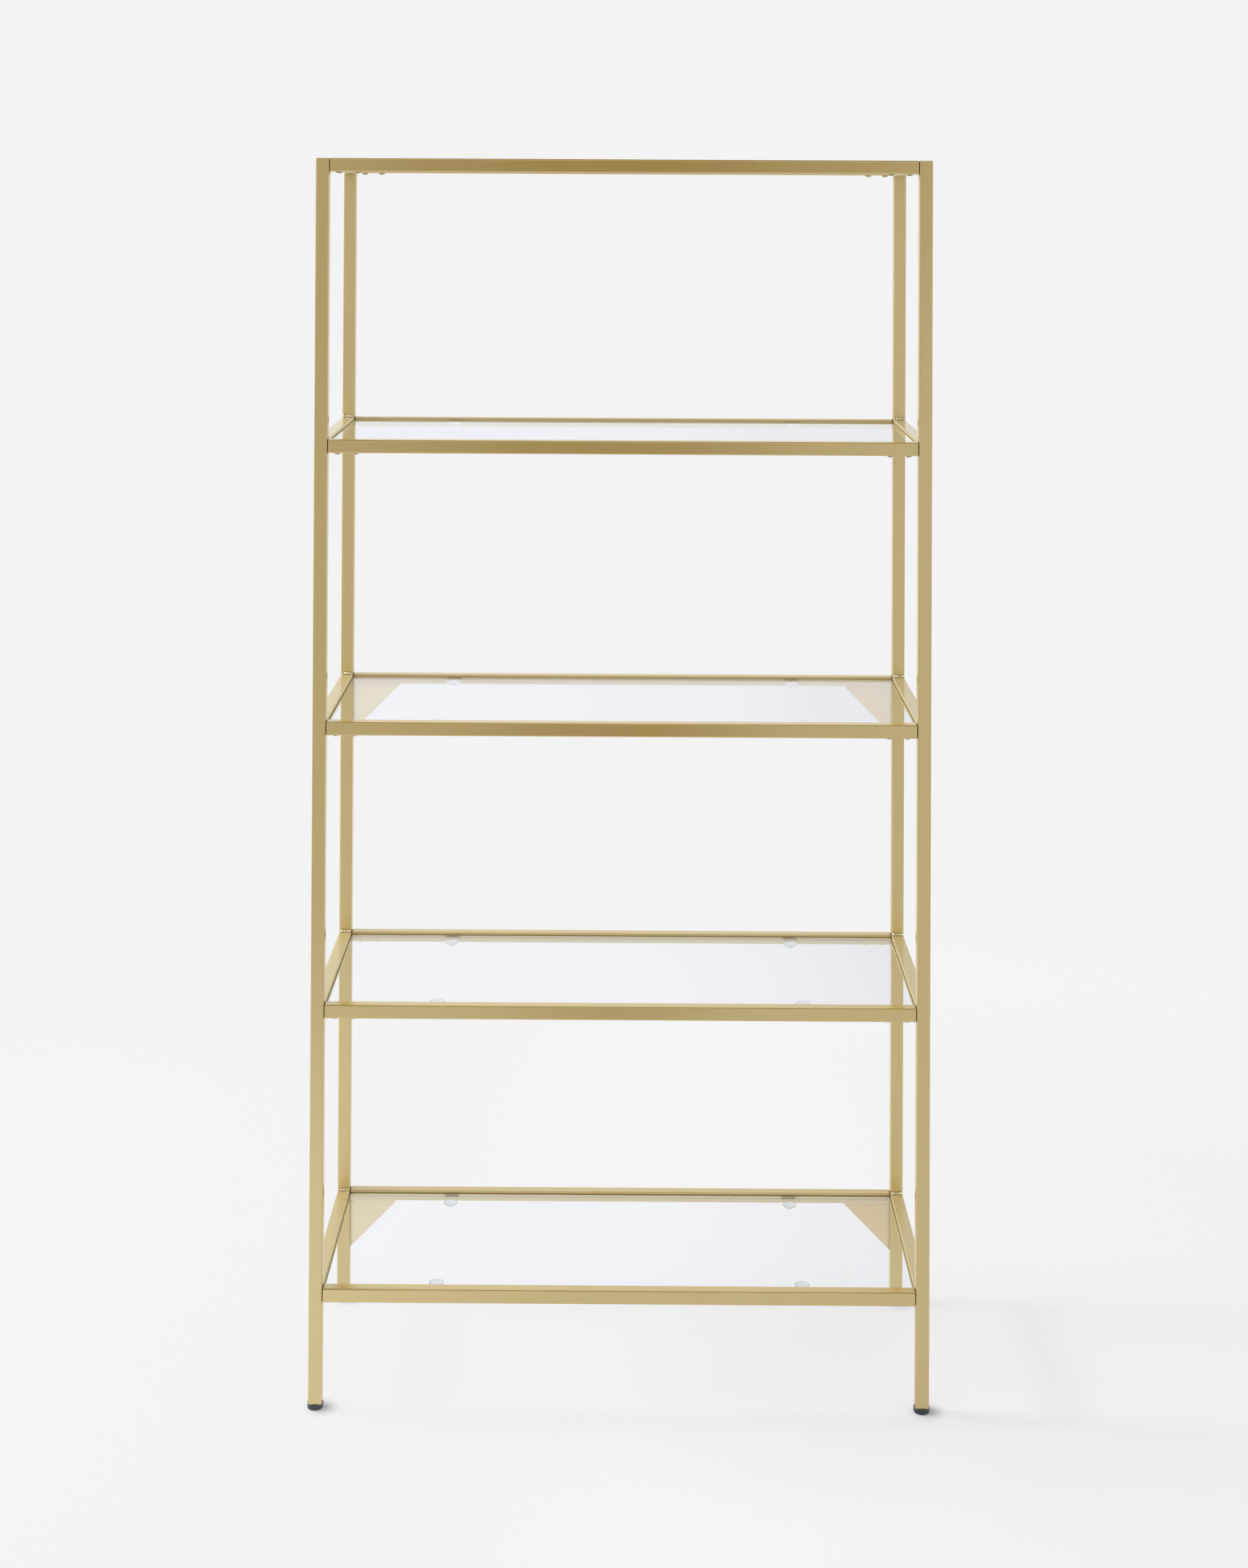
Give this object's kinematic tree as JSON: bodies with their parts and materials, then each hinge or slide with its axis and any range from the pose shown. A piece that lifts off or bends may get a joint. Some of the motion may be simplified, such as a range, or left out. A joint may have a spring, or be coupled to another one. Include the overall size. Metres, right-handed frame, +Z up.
{
  "type": "etagere",
  "caption": "Tall open étagère of square metal tube with clear glass shelves that lift out, corner plates under the rear rails and screw feet.",
  "frame": {"origin": "on the floor under the middle of the unit, at the centre of its footprint", "axes": "+X to the right as seen from the front, +Y from front to rear, +Z up"},
  "size_m": [0.918, 0.385, 1.844],
  "materials": {
    "gold_paint": "satin champagne gold metallic paint",
    "bright_steel": "bright zinc plated",
    "clear_glass": "clear polished, ground edges",
    "clear_vinyl": "clear soft vinyl",
    "black_plastic": "satin black"
  },
  "bodies": {
    "frame": {"post_front_left": "gold_paint", "post_front_right": "gold_paint", "post_rear_left": "gold_paint", "post_rear_right": "gold_paint", "side_rail_left_bottom": "gold_paint", "side_rail_right_bottom": "gold_paint", "front_rail_bottom": "gold_paint", "rear_rail_bottom": "gold_paint", "rail_tongues_bottom": "gold_paint", "rail_bolts_bottom": "bright_steel", "shelf_tabs_bottom": "gold_paint", "side_rail_left_lower": "gold_paint", "side_rail_right_lower": "gold_paint", "front_rail_lower": "gold_paint", "rear_rail_lower": "gold_paint", "rail_tongues_lower": "gold_paint", "rail_bolts_lower": "bright_steel", "shelf_tabs_lower": "gold_paint", "side_rail_left_middle": "gold_paint", "side_rail_right_middle": "gold_paint", "front_rail_middle": "gold_paint", "rear_rail_middle": "gold_paint", "rail_tongues_middle": "gold_paint", "rail_bolts_middle": "bright_steel", "shelf_tabs_middle": "gold_paint", "side_rail_left_upper": "gold_paint", "side_rail_right_upper": "gold_paint", "front_rail_upper": "gold_paint", "rear_rail_upper": "gold_paint", "rail_tongues_upper": "gold_paint", "rail_bolts_upper": "bright_steel", "shelf_tabs_upper": "gold_paint", "side_rail_left_top": "gold_paint", "side_rail_right_top": "gold_paint", "front_rail_top": "gold_paint", "rear_rail_top": "gold_paint", "rail_tongues_top": "gold_paint", "rail_bolts_top": "bright_steel", "shelf_tabs_top": "gold_paint", "gusset_left_bottom": "gold_paint", "gusset_right_bottom": "gold_paint", "gusset_left_middle": "gold_paint", "gusset_right_middle": "gold_paint", "post_top_caps": "gold_paint", "foot_thread_inserts": "bright_steel"},
    "shelf_bottom": {"glass_shelf_bottom": "clear_glass", "suction_discs_bottom": "clear_vinyl"},
    "shelf_lower": {"glass_shelf_lower": "clear_glass", "suction_discs_lower": "clear_vinyl"},
    "shelf_middle": {"glass_shelf_middle": "clear_glass", "suction_discs_middle": "clear_vinyl"},
    "shelf_upper": {"glass_shelf_upper": "clear_glass", "suction_discs_upper": "clear_vinyl"},
    "shelf_top": {"glass_shelf_top": "clear_glass", "suction_discs_top": "clear_vinyl"},
    "foot_front_left": {"levelling_foot_front_left": "black_plastic"},
    "foot_front_right": {"levelling_foot_front_right": "black_plastic"},
    "foot_rear_left": {"levelling_foot_rear_left": "black_plastic"},
    "foot_rear_right": {"levelling_foot_rear_right": "black_plastic"}
  },
  "joints": [
    {"name": "shelf_bottom_lift", "type": "slide", "parent": "frame", "child": "shelf_bottom", "axis": [0, 0, 1], "range_m": [0, 0.06]},
    {"name": "shelf_lower_lift", "type": "slide", "parent": "frame", "child": "shelf_lower", "axis": [0, 0, 1], "range_m": [0, 0.06]},
    {"name": "shelf_middle_lift", "type": "slide", "parent": "frame", "child": "shelf_middle", "axis": [0, 0, 1], "range_m": [0, 0.06]},
    {"name": "shelf_upper_lift", "type": "slide", "parent": "frame", "child": "shelf_upper", "axis": [0, 0, 1], "range_m": [0, 0.06]},
    {"name": "shelf_top_lift", "type": "slide", "parent": "frame", "child": "shelf_top", "axis": [0, 0, 1], "range_m": [0, 0.06]},
    {"name": "foot_front_left_adjust", "type": "slide", "parent": "frame", "child": "foot_front_left", "axis": [0, 0, -1], "range_m": [0, 0.01]},
    {"name": "foot_front_right_adjust", "type": "slide", "parent": "frame", "child": "foot_front_right", "axis": [0, 0, -1], "range_m": [0, 0.01]},
    {"name": "foot_rear_left_adjust", "type": "slide", "parent": "frame", "child": "foot_rear_left", "axis": [0, 0, -1], "range_m": [0, 0.01]},
    {"name": "foot_rear_right_adjust", "type": "slide", "parent": "frame", "child": "foot_rear_right", "axis": [0, 0, -1], "range_m": [0, 0.01]}
  ]
}
